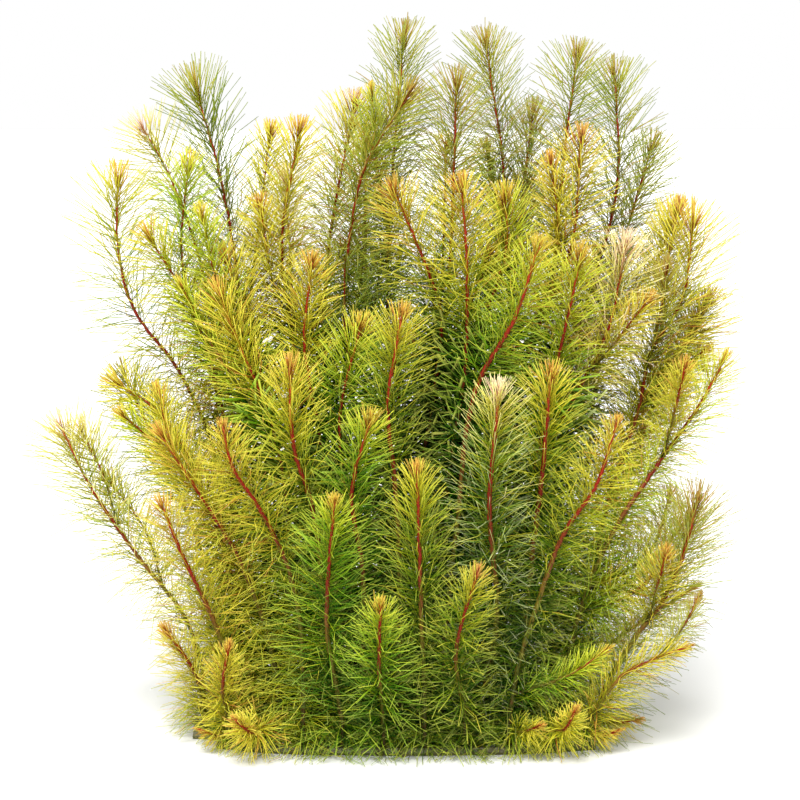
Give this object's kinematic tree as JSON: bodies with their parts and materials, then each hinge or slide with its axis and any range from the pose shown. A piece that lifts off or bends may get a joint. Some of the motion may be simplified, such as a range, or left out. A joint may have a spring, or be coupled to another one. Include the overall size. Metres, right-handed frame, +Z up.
{
  "type": "vietnam rotala clump",
  "caption": "Dense clump of upright red-stemmed water-plant shoots with whorls of fine needle leaves, cut off flat at the ground and standing on its creeping runners.",
  "frame": {"origin": "on the ground, on the cut underside of the runners, under the middle of the clump", "axes": "+X to the right as the clump is seen from the front, +Y to the back, +Z up"},
  "size_m": [0.3617, 0.2389, 0.3632],
  "materials": {
    "leaf": "thin soft needle leaves, slightly see-through, with a satin skin",
    "stem": "smooth fleshy red stem with a soft shine"
  },
  "bodies": {
    "root": {"back_shoot_01": "leaf", "back_shoot_02": "leaf", "back_shoot_03": "leaf", "back_shoot_04": "leaf", "back_shoot_05": "leaf", "back_shoot_06": "leaf", "back_shoot_07": "leaf", "back_shoot_08": "leaf", "crown_shoot_01": "leaf", "crown_shoot_02": "leaf", "crown_shoot_03": "leaf", "crown_shoot_04": "leaf", "crown_shoot_05": "leaf", "crown_shoot_06": "leaf", "crown_shoot_07": "leaf", "crown_shoot_08": "leaf", "front_shoot_01": "leaf", "front_shoot_02": "leaf", "front_shoot_03": "leaf", "front_shoot_04": "leaf", "front_shoot_05": "leaf", "front_shoot_06": "leaf", "front_shoot_07": "leaf", "front_shoot_08": "leaf", "front_shoot_09": "leaf", "front_shoot_10": "leaf", "heart_shoot_01": "leaf", "heart_shoot_02": "leaf", "heart_shoot_03": "leaf", "heart_shoot_04": "leaf", "heart_shoot_05": "leaf", "heart_shoot_06": "leaf", "heart_shoot_07": "leaf", "heart_shoot_08": "leaf", "heart_shoot_09": "leaf", "middle_shoot_01": "leaf", "middle_shoot_02": "leaf", "middle_shoot_03": "leaf", "middle_shoot_04": "leaf", "middle_shoot_05": "leaf", "middle_shoot_06": "leaf", "middle_shoot_07": "leaf", "middle_shoot_08": "leaf", "middle_shoot_09": "leaf", "middle_shoot_10": "leaf", "middle_shoot_11": "leaf", "near_shoot_01": "leaf", "near_shoot_02": "leaf", "near_shoot_03": "leaf", "near_shoot_04": "leaf", "near_shoot_05": "leaf", "near_shoot_06": "leaf", "near_shoot_07": "leaf", "near_shoot_08": "leaf", "near_shoot_09": "leaf", "near_shoot_10": "leaf", "near_shoot_11": "leaf", "rear_shoot_01": "leaf", "rear_shoot_02": "leaf", "rootstock": "stem"}
  },
  "joints": []
}
